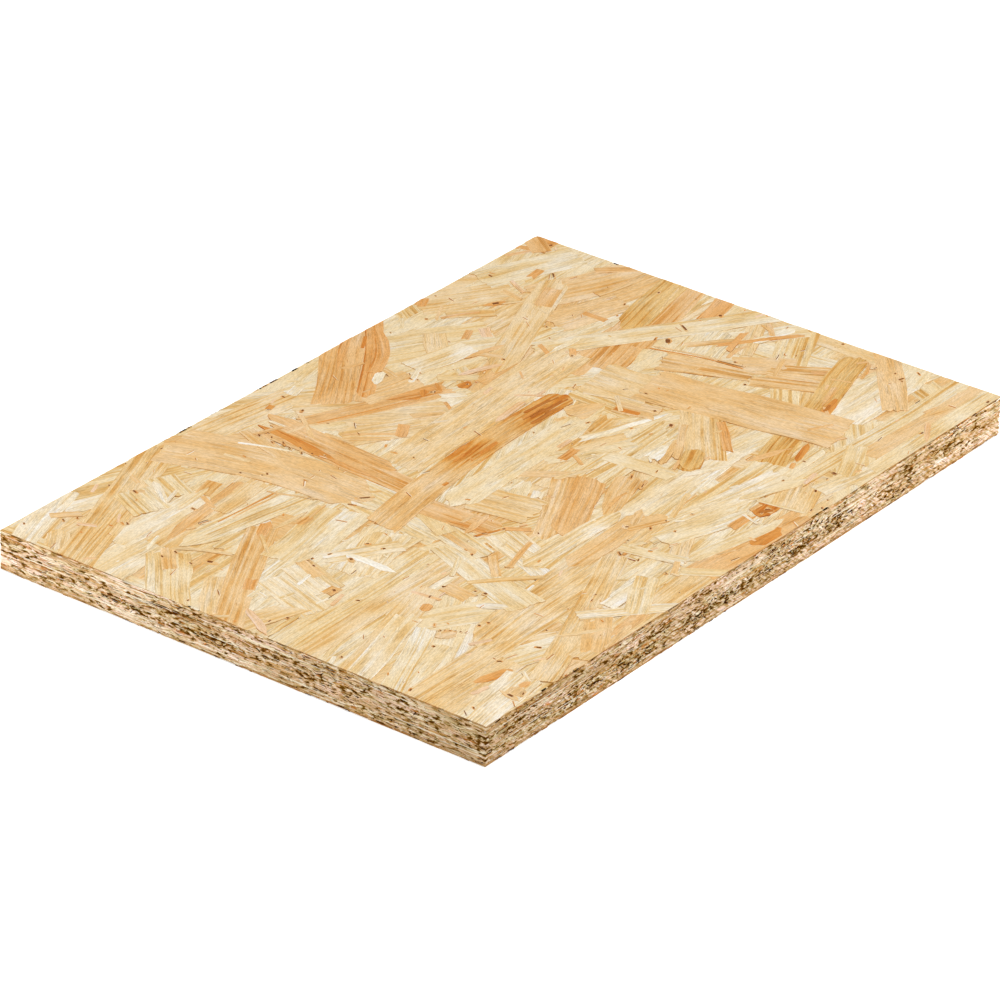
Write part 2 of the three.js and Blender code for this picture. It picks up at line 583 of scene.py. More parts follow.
# ------------------------------------------------------------------------------------------------
# The strands of the two faces. Each is a thin flat chip with its grain along it, split clean on its
# two sides and broken at its ends. They are laid one on another and pressed until the face is flat,
# so that only a few hundredths of a millimetre are left where one lies over the end of another.

strand_body = 0.55  # mm, as thick as a strand is once it is pressed
level_step = 0.06  # mm from one strand's face to that of the next one up
most_rise = 0.35  # mm that a strand may stand above or below the rest
chamfer_in, chamfer_down = 0.4, 0.06
point_apart = (5, 1.7)  # mm from one point of a strand to the next, along it and across it
most_ragged = 1.3  # mm by which a long strand's end breaks off uneven
width_wave = 0.035  # of a strand's width
most_sway = 0.35  # mm to either side of its line
press_reach = 22  # mm over which the press evens out the pile
press_strokes = 3
face_margin = 0.03  # mm by which the highest strand stays below the face of the board
cut_past_edge = 1e-6
sawn_back = 0.25 * mm  # by which the deepest strands of a face are cut shorter than the topmost
grain_apart = 37  # mm in the wood's pattern from one strand to the next
face_stiffness = 30  # how many times a strand evens out what it lies on
bend_clearance = 3  # mm along the strand between two of its points
least_shown = 2  # mm2 that has to show of a strand, or it is left out
saw_lines = ((0, length / 2), (1, width / 2))  # the axis that each crosses, and how far out

face_tones = {
    "white": linear(244, 229, 199),
    "pale": linear(240, 219, 181),
    "cream": linear(237, 214, 171),
    "straw": linear(236, 209, 160),
    "pinkish": linear(236, 196, 150),
    "wheat": linear(235, 202, 149),
    "tan": linear(233, 193, 136),
    "honey": linear(231, 184, 123),
    "ochre": linear(226, 182, 112),
    "orange": linear(228, 170, 102),
    "amber": linear(218, 146, 67),
    "russet": linear(190, 116, 42),
    "umber": linear(128, 74, 26),
}
tone_names = list(face_tones)


def pointing(turn, far):
    """So many mm this way: along the board and across it."""
    return np.array([math.cos(turn), math.sin(turn)]) * far


@cache
def drawn_chip(rows, columns):
    """A flat sheet of so many points along and across, with walls drawn down from its rim. It gives
    whether each point is a foot of the walls, the row and column it is at, and the faces."""
    shape = bmesh.new()
    bmesh.ops.create_grid(shape, x_segments=rows - 1, y_segments=columns - 1, size=1.0)
    rim = [edge for edge in shape.edges if edge.is_boundary]
    walls = bmesh.ops.extrude_edge_only(shape, edges=rim)["geom"]
    feet = [part for part in walls if isinstance(part, bmesh.types.BMVert)]
    bmesh.ops.translate(shape, verts=feet, vec=(0, 0, -1))
    points, faces = taken_apart(shape)
    along = (points[:, 0] + 1) / 2 * (rows - 1)
    across = (points[:, 1] + 1) / 2 * (columns - 1)
    return in_order(np.column_stack([-points[:, 2], along, across]).round().astype(int), faces)


class Face:
    """The strands of one face in mm from its front-left corner, laid from the inside out."""

    def __init__(self):
        self.size = np.array([length, width]) / mm
        self.grid = np.ceil(self.size).astype(int) + 1
        self.cover = np.zeros(self.grid)
        self.topmost = np.zeros(self.grid, int)
        self.laid = []

    def lay(
        self,
        tone,
        x0, y0, x1, y1,
        wide,
        lines=0.3,
        bow=0.0,
        ends=(1, 1),
        slant=(0, 0),
        tips=(0, 0),
        stains=(),
    ):
        """A strand on a line from x0, y0 to x1, y1, as wide as said, or from one width to another.
        For each end: how broken it is, how far it slants, and how far it runs out to a point.
        Resin stains it from one share of its length to another."""
        start, end = np.array([x0, y0], float), np.array([x1, y1], float)
        long = np.hypot(*(end - start))
        along = (end - start) / long
        across = np.array([-along[1], along[0]])
        wide_from, wide_to = (wide, wide) if isinstance(wide, (int, float)) else wide
        widest = max(wide_from, wide_to)
        rim = min(0.25, 2 * chamfer_in / widest)
        columns = max(2, round(widest / point_apart[1]) + 1)
        across_share = np.concatenate([[-1], np.linspace(-1 + rim, 1 - rim, columns), [1]])
        rows = max(2, round(long / point_apart[0]) + 1)
        near_end = min(0.2, chamfer_in / long)
        along_share = np.concatenate([[0], np.linspace(near_end, 1 - near_end, rows), [1]])

        broken = chance.normal(0, 1, (2, len(across_share)))
        broken[:, 1] = broken[:, 0]
        broken[:, -2] = broken[:, -1]
        inset = np.empty((2, len(across_share)))
        for which in (0, 1):
            jagged = np.abs(broken[which]) * ends[which] * min(most_ragged, 0.25 + long / 60)
            pointed = tips[which] * np.abs(across_share) ** 1.3
            inset[which] = jagged + pointed + slant[which] * across_share
        from_start = inset[0] + (long - inset[1] - inset[0]) * along_share[:, None]

        share = np.clip(from_start / long, 0, 1)
        half = (wide_from + (wide_to - wide_from) * share) / 2
        half = half * (1 + width_wave * np.sin(share * chance.uniform(4, 14) + chance.uniform(0, 6)))
        bowed = bow * (1 - (2 * share - 1) ** 2)
        sway = min(most_sway, long / 120) * np.sin(share * chance.uniform(3, 9) + chance.uniform(0, 6))
        sideways = across_share * half + bowed + sway
        grain = np.stack([from_start, across_share * half + sway * 0.3, np.zeros_like(half)], axis=2)
        grain += (chance.uniform(0, 400), chance.uniform(0, 400), 0)
        stain = np.zeros_like(share)
        for stain_from, stain_to in stains:
            middle, reach = (stain_from + stain_to) / 2, (stain_to - stain_from) / 2
            stain = np.maximum(stain, np.clip(1.6 - 1.6 * np.abs(share - middle) / reach, 0, 1))

        # The cells of a square millimetre each that it covers
        stations_mm = np.linspace(0, long, int(long) + 2)
        share = stations_mm[:, None] / long
        half = (wide_from + (wide_to - wide_from) * share) / 2
        beside = np.linspace(-1, 1, int(widest * 1.3) + 2) * half + bow * (1 - (2 * share - 1) ** 2)
        cells = start + stations_mm[:, None, None] * along + beside[..., None] * across
        inside = ((cells >= 0) & (cells <= self.size)).all(axis=2)
        cells = cells.round().astype(int).clip(0, self.grid - 1)
        self.cover[tuple(cells[inside].T)] += 1
        self.topmost[tuple(cells[inside].T)] = tone_names.index(tone)
        self.laid.append({
            "tone": face_tones[tone],
            "places": start + from_start[..., None] * along + sideways[..., None] * across,
            "from_start": from_start,
            "grain": grain,
            "lines": lines,
            "stain": stain,
            "rim_shows": min(1, widest / 5),
            "stations_mm": stations_mm,
            "cells": cells,
            "inside": inside,
        })

    def lay_over(self, middle, tone, reach, wide, lines, **shape):
        """A strand that lies with its middle here, and reaches so far to either side of it."""
        self.lay(tone, *(middle - reach), *(middle + reach), wide, lines, **shape)

    def fleck(self, x, y, long, wide, degrees, tone="umber"):
        """A small dark chip, pointed at both ends, in wood that it has stained: some are bark, and
        some are painted shade for the mouth of a gap between strands."""
        reach = pointing(math.radians(degrees), long) / 2
        halo = reach * chance.uniform(1.0, 1.7)
        off = chance.uniform(-0.3, 0.3, 2) * wide
        stained = chance.choice(["tan", "honey", "orange"])
        stain = (off + (x, y), stained, halo, wide * chance.uniform(1.1, 1.6))
        for middle, colour, half, breadth in (stain, (np.array([x, y]), tone, reach, wide * 0.8)):
            tip = chance.uniform(0.25, 0.5, 2) * np.hypot(*half) * 2
            self.lay_over(middle, colour, half, breadth, 0.3, ends=(0.6, 0.6), tips=tip)

    def seen(self):
        """The strands that show, from the inside out. One that no one sees is left out."""
        covered = np.zeros(self.grid, bool)
        seen = []
        for strand in reversed(self.laid):
            cells, inside = strand["cells"], strand["inside"]
            reach = cells[inside]
            shows = np.unique(reach[~covered[tuple(reach.T)]], axis=0)
            if len(shows) >= least_shown:
                seen.insert(0, strand)
                covered[tuple(cells[2:-2][inside[2:-2]].T)] = True
        return seen

    def risen(self, seen):
        """How far each point of these strands stands above the rest once they are pressed, in mm."""
        pile = np.zeros(self.grid)
        tops = []
        for strand in seen:
            cells, inside = strand["cells"], strand["inside"]
            under = np.where(inside, pile[cells[..., 0], cells[..., 1]], 0).max(axis=1)
            padded = np.pad(under, bend_clearance, mode="edge")
            shifts = range(2 * bend_clearance + 1)
            under = np.max([padded[shift : shift + len(under)] for shift in shifts], axis=0)
            top = settled(under, face_stiffness) + 1
            pile[tuple(cells[inside].T)] = np.repeat(top, inside.sum(axis=1))
            tops.append(np.interp(strand["from_start"], strand["stations_mm"], top))
        for _ in range(press_strokes):
            for axis in (0, 1):
                pad = [(press_reach, press_reach) if a == axis else (0, 0) for a in (0, 1)]
                sums = np.cumsum(np.pad(pile, pad, mode="edge"), axis=axis)
                sums = np.insert(sums, 0, 0, axis=axis)
                last = np.take(sums, range(2 * press_reach, sums.shape[axis]), axis=axis)
                first = np.take(sums, range(0, sums.shape[axis] - 2 * press_reach), axis=axis)
                pile = (last - first)[: self.grid[0], : self.grid[1]] / (2 * press_reach)
        rises = []
        for top, strand in zip(tops, seen):
            cell = np.clip(strand["places"].round().astype(int), 0, self.grid - 1)
            rise = (top - pile[cell[..., 0], cell[..., 1]]) * level_step
            rises.append(most_rise * np.tanh(rise / most_rise))
        return rises

    def pressed(self, names, up):
        """The face as one piece a name, each with the next share of the strands, sawn all round."""
        seen = self.seen()
        rises = self.risen(seen)
        highest = max(rise.max() for rise in rises)
        made = []
        for which, name in enumerate(names):
            strands = Strands()
            for order in range(which, len(seen), len(names)):
                strand = seen[order]
                rows, columns = strand["places"].shape[:2]
                edge = np.zeros((rows, columns), bool)
                edge[[0, -1], :] = edge[:, [0, -1]] = True
                top = thickness / mm - face_margin - highest + rises[order] - chamfer_down * edge
                (foot, row, column), faces = drawn_chip(rows, columns)
                points = np.dstack([strand["places"], top])[row, column]
                points[:, 2] -= strand_body * foot
                points = points * mm - (length / 2, width / 2, 0)
                if not up:
                    points = points * (1, -1, -1) + (0, 0, thickness)
                grain = strand["grain"][row, column]
                grain[:, 2] = order * grain_apart
                lines = np.full(len(points), strand["lines"])
                rim = 1 - strand["rim_shows"] * edge[row, column]
                figure = np.column_stack([lines, rim, strand["stain"][row, column]])
                strands.gather(points, faces, grain, strand["tone"], figure)
            piece = strands.made(name)
            saw_off(piece, topmost_grain=grain_apart * len(seen))
            made.append(piece)
        return made


def saw_off(piece, topmost_grain):
    """Closes the strands and cuts them along the four saw lines, the deepest ones a little further
    in than the topmost."""
    shape = bmesh.new()
    shape.from_mesh(piece.data)
    ends_closed(shape)
    for axis, reach in saw_lines:
        for side in (-1, 1):
            point, outward = [0, 0, 0], [0, 0, 0]
            point[axis], outward[axis] = side * (reach - cut_past_edge), side
            bmesh.ops.bisect_plane(
                shape,
                geom=shape.verts[:] + shape.edges[:] + shape.faces[:],
                plane_co=point,
                plane_no=outward,
                clear_outer=True,
            )
            ends_closed(shape)
    bmesh.ops.recalc_face_normals(shape, faces=shape.faces)
    shape.to_mesh(piece.data)
    shape.free()
    place, grain = np.empty((2, len(piece.data.vertices) * 3), np.float32)
    piece.data.vertices.foreach_get("co", place)
    piece.data.attributes["grain"].data.foreach_get("vector", grain)
    place, grain = place.reshape(-1, 3), grain.reshape(-1, 3)
    back = sawn_back * (1 - grain[:, 2] / topmost_grain)
    for axis, reach in saw_lines:
        sawn = np.abs(place[:, axis]) > reach - 3 * cut_past_edge
        place[sawn, axis] -= np.sign(place[sawn, axis]) * back[sawn]
    piece.data.vertices.foreach_set("co", place.ravel())


face_finish, tree, shader = new_finish("face_strands", roughness=0.65, gloss=0.15)
grain, tone = carried(tree, "grain"), carried(tree, "tone", "Color")
boldness, rim, stain = parts_of(tree, carried(tree, "figure"))
wander = grained(tree, grain, (70.0, 16.0, 30.0), detail=1.0)
swing = (0.0, 4.5, 0.0)  # mm by which the grain wanders to the side
wavy = put(tree, "ShaderNodeVectorMath", wander, swing, grain, operation="MULTIPLY_ADD")
wavy = wavy.outputs["Vector"]
rings = grained(tree, wavy, (220.0, 1.4, 60.0), detail=1.5)
fibres = grained(tree, wavy, (11.0, 0.34, 20.0), detail=4.0, roughness=0.7)
streaks = grained(tree, wavy, (34.0, 1.6, 30.0))
blotches = grained(tree, grain, (22.0, 9.0, 30.0))
hairlines = grained(tree, wavy, (48.0, 2.2, 20.0), detail=1.0)
frays = grained(tree, wavy, (7.0, 0.45, 20.0), detail=3.0)
ticks = grained(tree, wavy, (4.0, 0.5, 20.0))
edges = grained(tree, grain, (9.0, 6.0, 20.0), detail=1.0)
fuzz = grained(tree, wavy, (1.6, 0.3, 20.0))
resin_lines = grained(tree, wavy, (22.0, 1.7, 30.0))
patches = grained(tree, grain, (17.0, 7.0, 30.0), detail=1.0)
patchy = between(tree, patches, 0.40, 0.62, 0.15, 1.15)
resin = grained(tree, on_board(tree), (34.0, 20.0, 50.0), detail=3.0)

beside_line = unsigned(tree, combined(tree, "SUBTRACT", hairlines, 0.5))
on_line = between(tree, beside_line, 0.012, 0.004)
uneven = between(tree, blotches, 0.35, 0.65, 0.4, 1.7)
ringed = combined(tree, "MULTIPLY", between(tree, rings, 0.48, 0.61), boldness, uneven)
steps = combined(
    tree,
    "ADD",
    between(tree, blotches, 0.3, 0.7, -0.35, 0.10),
    between(tree, resin, 0.3, 0.7, -0.20, 0.15),
    combined(tree, "MULTIPLY", between(tree, streaks, 0.35, 0.68, -0.20, 0.32), patchy),
    between(tree, fibres, 0.3, 0.7, -0.04, 0.04),
    combined(tree, "MULTIPLY", ringed, 0.8),
    combined(tree, "MULTIPLY", between(tree, resin_lines, 0.38, 0.62, 0.6, 2.8), stain),
)
marks = combined(
    tree,
    "ADD",
    combined(tree, "MULTIPLY", ringed, 0.45),
    combined(tree, "MULTIPLY", on_line, between(tree, edges, 0.45, 0.6), 0.8),
    between(tree, frays, 0.60, 0.76, 0.0, -0.5),
    between(tree, ticks, 0.65, 0.78, 0.0, 1.8),
    # At a strand's rim, in patches: a darker brown line, partly the torn edge's own colour and partly
    # painted shade, and a pale line that is a painted highlight where the raised rim catches the light
    combined(tree, "MULTIPLY", between(tree, rim, 0.0, 0.9, 0.9, 0.0), between(tree, edges, 0.45, 0.62)),
    combined(tree, "MULTIPLY", between(tree, rim, 0.0, 0.9, -1.1, 0.0), between(tree, edges, 0.48, 0.3)),
)
_, _, facing_up = parts_of(tree, put(tree, "ShaderNodeNewGeometry").outputs["True Normal"])
on_wall = between(tree, unsigned(tree, facing_up), 0.6, 0.3)
out_along, out_across, _ = parts_of(tree, on_board(tree))
half_long, half_wide = length / mm / 2, width / mm / 2
at_saw = combined(
    tree,
    "MAXIMUM",
    between(tree, unsigned(tree, out_along), half_long - 0.5, half_long - 0.35),
    between(tree, unsigned(tree, out_across), half_wide - 0.5, half_wide - 0.35),
)
# Fine fibre lines in patches, darkened towards grey: partly the wood's fibre lines, partly painted shade
# in the grooves between them
fibre_lines_and_shade = combined(tree, "MULTIPLY", between(tree, fibres, 0.45, 0.75), patchy)
wood = deepened(tree, deepened(tree, tone, steps), marks, one_mark_darker)
for share, shade in (
    (between(tree, fuzz, 0.35, 0.65), (0.79, 0.78, 0.765)),
    (fibre_lines_and_shade, (0.60, 0.575, 0.545)),
    (on_wall, (0.76, 0.62, 0.44)),
    (combined(tree, "MULTIPLY", at_saw, on_wall), (0.80, 0.72, 0.62)),
):
    wood = blended(tree, share, wood, shade, "MULTIPLY")
finish_with(tree, shader, wood, relief=fibres, strength=0.5, deepest=0.12 * mm)


bed_length, bed_width = 120, 23  # mm
bed_pitch = (108, 17)  # mm, so that each covers the next a little
bed_shift = 37  # mm from one row to the next
share_crosswise = 0.15


def bed_of_strands(face, count):
    """A closed layer of long strands side by side, and random ones over it, more of them along the
    board than across it, each where there are fewest."""
    for row, y in enumerate(np.arange(2, face.size[1] + 10, bed_pitch[1])):
        for x in np.arange(-60 - bed_shift * (row % 3), face.size[0], bed_pitch[0]):
            tone = chance.choice(["straw", "wheat", "tan"])
            sink = chance.uniform(-3, 3)
            lines = chance.uniform(0.2, 0.7)
            face.lay(tone, x, y + sink, x + bed_length, y - sink, bed_width, lines)
    for _ in range(count):
        long, wide = chance.uniform(60, 125), chance.uniform(10, 24)
        turn = math.radians(chance.normal(0, 20) + (90 if chance.random() < share_crosswise else 0))
        reach = pointing(turn, long) / 2
        places = chance.uniform((-5, -2), face.size + (5, 2), (14, 2))
        sample = places[:, None] + reach * np.linspace(-0.9, 0.9, 9)[:, None]
        cell = sample.round().astype(int).clip(0, face.grid - 1)
        middle = places[face.cover[cell[..., 0], cell[..., 1]].mean(axis=1).argmin()]
        tone = chance.choice(["pale", "cream", "straw", "wheat", "tan"], p=[0.16, 0.32, 0.32, 0.14, 0.06])
        face.lay_over(middle, tone, reach, wide, chance.uniform(0.1, 0.7))


def slivers(face, count):
    """Narrow splinters, scattered, each of nearly the tone of the strand that it lies on."""
    for _ in range(count):
        long = chance.uniform(4, 26) if chance.random() < 0.5 else chance.uniform(2, 7)
        wide = long * chance.uniform(0.05, 0.13) + chance.uniform(0.2, 0.8)
        turn = math.radians(chance.normal(0, 26) + (90 if chance.random() < share_crosswise else 0))
        reach = pointing(turn, long) / 2
        middle = chance.uniform((0, 0), face.size)
        below = face.topmost[tuple(middle.round().astype(int))]
        tone = int(np.clip(below + chance.choice([-1, -1, 0, 1]), 0, tone_names.index("honey")))
        tip = chance.uniform(0.05, 0.4, 2) * long
        face.lay_over(middle, tone_names[tone], reach, wide, chance.uniform(0, 0.5), tips=tip)

# ------------------------------------------------------------------------------------------------
# The underside, which lies on the floor. It is pressed as the top face is, from a bed of strands
# and some splinters, all by chance, and left as it comes from the press.

underside = Face()
bed_of_strands(underside, 170)
slivers(underside, 110)
for piece in underside.pressed(["underside_strands", "more_underside_strands"], up=False):
    piece.data.materials.append(face_finish)
    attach(piece, "root")
    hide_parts("osb_panel")

# ------------------------------------------------------------------------------------------------
# The top face. A bed of random strands, then the larger strands each at its own place, those that
# lie deepest first, then splinters, the dark flecks of bark, painted shade for the small gaps, and
# last some thin strands that lie over all the rest.

top = Face()
bed_of_strands(top, 80)
slivers(top, 60)
lay, fleck = top.lay, top.fleck

# Broad pale strands that lie deep
lay("pale", 150, 57, 245, 58, 13, lines=0.2)
lay("pale", 155, 42, 236, 29, 13, lines=0.25)
lay("straw", -6, 94, 96, 97, 9, lines=0.5)
lay("wheat", -6, 86, 94, 88, 10, lines=0.4)
lay("straw", -6, 101, 94, 103, 8, lines=0.4)
lay("cream", -5, 118, 100, 119, 24, lines=0.2)
lay("cream", 5, 128, 102, 141, 14, lines=0.25)
lay("wheat", -6, 128, 26, 152, 9, lines=0.4)
lay("pale", -4, 184, 48, 187, 16, lines=0.15)
lay("pale", -4, 191, 34, 191, 13, lines=0.15)
lay("wheat", 30, 185, 98, 190, 16, lines=0.4)
lay("pale", 28, 232, 56, 222, 9, lines=0.3)
lay("pale", -6, 226, 42, 242, 12, lines=0.4)
lay("wheat", 112, 232, 165, 224, 16, lines=0.6)
lay("wheat", 150, 214, 214, 150, 30, lines=0.3)
lay("cream", 198, 176, 214, 172, 13, lines=0.2)
lay("straw", 216, 225, 262, 196, 26, lines=0.3)
lay("wheat", 262, 238, 300, 214, 20, lines=0.45)
lay("cream", 298, 232, 346, 214, 18, lines=0.3)
lay("tan", 300, 205, 356, 180, 22, lines=0.4)
lay("tan", 318, 180, 356, 172, 16, lines=0.4)
lay("tan", 285, 184, 322, 172, 18, lines=0.35)
lay("wheat", 228, 199, 246, 216, 10, lines=0.5)
lay("pale", 214, 203, 246, 196, 13, lines=0.3)
lay("honey", 252, 152, 300, 156, 14, lines=0.4)
lay("straw", 300, 76, 352, 101, 16, lines=0.7)
lay("cream", 322, 116, 350, 96, 12, lines=0.2)
lay("pale", 290, 40, 334, 40, 20, lines=0.1)
lay("cream", 330, 38, 354, 44, 18, lines=0.2)
lay("cream", 240, 58, 262, 55, 14, lines=0.2)
lay("straw", 232, 22, 352, 19, 9, lines=0.8)
lay("tan", 270, 13, 352, 10, 10, lines=0.2)
lay("straw", 246, 4, 354, 4, 9, lines=0.5)
lay("pale", 232, 11, 262, 6, 10, lines=0.3)
lay("cream", 110, 22, 146, 24, 20, lines=0.5)
lay("pale", 60, 112, 97, 122, 20, lines=0.3)
lay("cream", 178, 90, 244, 92, 26, lines=0.45)
lay("cream", 40, 26, 72, 14, 14, lines=0.3)
lay("wheat", -4, 22, 46, 24, 16, lines=0.3)
lay("orange", 22, 24, 41, 18, 5, lines=0.6, tips=(6, 4))
lay("pale", -4, 6, 40, 12, 16, lines=0.4)
lay("tan", 24, 7, 32, 8, 6, lines=0.0, ends=(1.5, 1.5), tips=(1, 1))
lay("orange", 31, 8, 38, 7.5, 3.5, lines=0.4, tips=(1, 3))

# The near left of the board
lay("straw", 40, 72, 76, 50, 16, lines=0.2)
lay("wheat", -6, 62, 71, 81, 12, lines=0.3)
lay("pale", -5, 59, 51, 74, 11, lines=0.3, tips=(0, 3))
lay("wheat", -10, 33, 119, 34, 13, lines=0.5)
lay("wheat", 45, 40, 172, 49, 18, lines=0.5, ends=(1, 2.2), tips=(12, 2))
lay("white", 76, 48, 105, 53, 1.4, lines=0.0, tips=(6, 10))
lay("cream", -8, 41, 45, 63, 8.5, lines=0.8)
lay("cream", 82, 43, 101, 100, (17, 12), lines=0.3)
lay("pale", 70, 60, 78, 48, 4.5, lines=0.0, tips=(4, 3))
lay("tan", 75, 78, 74, 64, 8, lines=0.5, ends=(1, 1.6))
lay("tan", 41, 56, 50, 52, 6, lines=0.4, tips=(3, 2))
lay("orange", 54, 72, 61, 74, 4, lines=0.3, tips=(1.5, 1.5))
lay("wheat", 40, 4, 141, 42, 11, lines=0.5, tips=(0, 5))
lay("wheat", 62, 3, 152, 7, 13, lines=0.4)
lay("honey", 84, 5, 112, 6, 6, lines=0.5, tips=(8, 6))
lay("honey", 146, 8, 213, 3, 14, lines=0.6)
lay("amber", 177, 6, 199, 5, 8.5, lines=0.3, ends=(2, 2), tips=(5, 5))
lay("tan", 70, 2, 100, 22, 11, lines=0.2)
lay("pale", 89, 25, 121, -3, 7, lines=0.35)
lay("cream", 143, 15, 156, -4, 6, lines=0.2)
lay("pale", 102, 20, 117, 20, 7, lines=0.1)
lay("cream", 150, 18, 205, 8, 7.5, lines=0.15, tips=(6, 10))
lay("straw", 104, 8, 132, 22, 10, lines=0.5)
lay("wheat", 83, 74, 106, 52, 3, lines=0.5)
lay("wheat", 148, 20, 173, 33, 8, lines=0.3)
lay("cream", 158, 35, 200, 23, 12, lines=0.2)
lay("cream", 151, 17, 144, 45, 7, lines=0.2)
lay("wheat", 177, 43, 198, 50, 2.6, lines=0.2, ends=(2, 2))
lay("pale", 184, 39, 226, 30, 2.5, lines=0.2, tips=(8, 8))
lay("straw", 205, 32, 240, 19, 6, lines=0.2, tips=(6, 8))
lay("tan", 139, 15, 149, 20, 2.5, lines=0.2)
lay("orange", 184, 20, 199, 20, 4.5, lines=0.1, ends=(2, 2))
lay("amber", 199, 17, 211, 19, 9, lines=0.8, ends=(2.5, 1.2), tips=(3, 0))
lay("pale", 197, 23, 194, 13, 1.5, lines=0.0)
lay("straw", 210, 26, 214, 4, 1.6, lines=0.0)
lay("tan", 118, 50, 172, 52, 11, lines=0.5, tips=(6, 4))
lay("tan", 156, 54, 177, 44, 8, lines=0.7, ends=(2, 2), tips=(3, 2))
lay("tan", 160, 50, 176, 57, 4, lines=0.4, tips=(5, 5))
lay("pale", 146, 43, 154, 39, 2.5, lines=0.1, ends=(2, 2))

# The left of the middle
lay("pale", 27, 102, 37, 134, 15, lines=0.4)
lay("wheat", -4, 121, 25, 112, 11, lines=0.35, slant=(0, 5))
lay("pale", 44, 109, 52, 133, 14, lines=0.3)
lay("tan", 50, 119, 56, 133, 6, lines=0.2)
lay("pale", 58, 110, 97, 124, 12, lines=0.3, tips=(3, 8))
lay("pale", 62, 128, 92, 110, 9, lines=0.4, ends=(2, 2))
lay("honey", 41, 109, 48, 109, 5, lines=0.2)
lay("tan", -6, 121, 69, 163, 13, lines=0.7)
lay("orange", 24, 134, 33, 139, 5, lines=0.5, ends=(2, 2))
lay("straw", -6, 149, 29, 178, 18, lines=0.6)
lay("tan", 18, 168, 31, 180, 6, lines=0.5)
lay("wheat", 31, 179, 43, 157, 2.5, lines=0.1, bow=1.5)
lay("cream", 104, 80, 112, 108, 12, lines=0.4)
lay("tan", 104, 84, 109, 104, 3.5, lines=0.4, ends=(2, 2))
lay("straw", 109, 103, 119, 121, 9, lines=0.15)
lay("straw", 50, 143, 98, 152, 11, lines=0.3)
lay("orange", 58, 157, 74, 164, 5, lines=0.6, ends=(2, 2), tips=(6, 3))
lay("honey", 78, 152.5, 87, 153, 4, lines=0.6, ends=(2, 2))
lay("tan", 84, 153, 99, 155, 1.2, lines=0.5, ends=(2, 2))

# The middle
lay("tan", 129, 71, 180, 97, 10, lines=0.5, ends=(1, 0.4), tips=(5, 0), slant=(0, -2))
lay("honey", 137, 66, 185, 89, 14, lines=0.4, ends=(1, 0.4), tips=(6, 0), slant=(0, -3))
lay("tan", 160, 64, 195, 76, (7, 13), lines=0.6, tips=(8, 2))
lay("honey", 102, 68, 126, 74, 2.5, lines=0.2)
lay("tan", 94, 67, 107, 79, 4, lines=0.4)
lay("pale", 106, 64, 168, 61, 9, lines=0.4, tips=(6, 6))
lay("cream", 181, 94, 243, 95, 4.5, lines=0.6)
lay("cream", 182, 88, 238, 89, 4.5, lines=0.7)
lay("cream", 182, 83, 233, 84, 4.5, lines=0.6)
lay("straw", 203, 95, 206, 63, 9, lines=0.2)
lay("white", 211, 79, 226, 79, 7, lines=0.0, ends=(2, 2))
lay("ochre", 212, 61, 232, 71, 10.5, lines=1.0, ends=(1.4, 1.4), tips=(3, 3))
lay("wheat", 224, 61, 262, 90, 18, lines=0.7, ends=(1.4, 1.4))
lay("honey", 186, 66, 198, 70, 1.6, lines=0.4, tips=(3, 3))
lay("tan", 211, 73, 233, 80, 3, lines=0.3, ends=(2, 2))
lay("tan", 218, 71, 246, 86, 3, lines=0.3, ends=(2, 2))
lay("honey", 122, 124, 124, 89, 13, lines=0.5, ends=(1, 2.6))
lay("orange", 118, 111, 121, 91, 3, lines=0.8, tips=(5, 3))
lay("amber", 114, 94, 128, 88.5, 1.2, lines=0.3, ends=(2, 2))
lay("orange", 127, 89, 134, 79.5, 3, lines=0.6, ends=(2, 2))
lay("wheat", 141, 114, 146, 86, 21, lines=0.35, ends=(0.6, 1.5))
lay("pale", 155, 94, 162, 97, 5, lines=0.0, ends=(2, 2))
lay("pale", 153, 109, 162, 106, 3, lines=0.0, ends=(2, 2))
lay("tan", 166, 115, 182, 93, 5, lines=0.4)
lay("cream", 184, 112, 220, 92, 9, lines=0.3)
lay("pale", 205, 112, 252, 95, 6, lines=0.5, tips=(6, 6))
lay("white", 203, 111, 251, 96, 3, lines=0.1, tips=(10, 8))
lay("wheat", 197, 107, 223, 98, 6, lines=0.4, ends=(2, 2))
lay("orange", 188, 106, 200, 107, 4, lines=0.5, ends=(2, 2))
lay("honey", 195, 105, 189, 95, 1.8, lines=0.2, tips=(1, 3))
lay("tan", 218, 130, 212, 112, 6, lines=0.3)
lay("straw", 127, 117, 241, 121, 15, lines=0.2, tips=(10, 30))
lay("tan", 222, 128, 241, 122, (14, 8), lines=0.2, tips=(2, 12))
lay("tan", 242, 118, 246, 99, 12, lines=0.3, ends=(0.5, 1.2))
lay("amber", 239, 117, 241, 105, 3, lines=0.3)
lay("amber", 246, 116.5, 251, 113, 2.5, lines=0.3, tips=(1, 1))

# The near right
lay("orange", 237, 58, 257, 76, 4, lines=0.5)
lay("ochre", 239, 39.5, 276, 51, 13, lines=1.0, ends=(1.4, 1.0))
lay("amber", 247, 32, 265, 38, 3, lines=0.9, tips=(3, 4))
lay("orange", 240, 30, 248, 33, 2, lines=0.5, tips=(2, 2))
lay("straw", 283, 62, 302, 76, 12, lines=0.6)
lay("tan", 310, 26, 358, 63, 11.5, lines=0.1, ends=(0.8, 0.8))
lay("straw", 249, 9, 276, 21, 9, lines=0.3, ends=(1, 2), tips=(3, 0))
lay("tan", 302, 103, 318, 80, 16, lines=0.15, ends=(1.2, 1.2))
lay("tan", 306, 88, 315, 62, 9, lines=0.5)
lay("tan", 295, 89, 308, 61, 9, lines=0.85, ends=(1.6, 1))
lay("tan", 312, 84, 325, 62, 9, lines=0.85, ends=(1.6, 1.2))
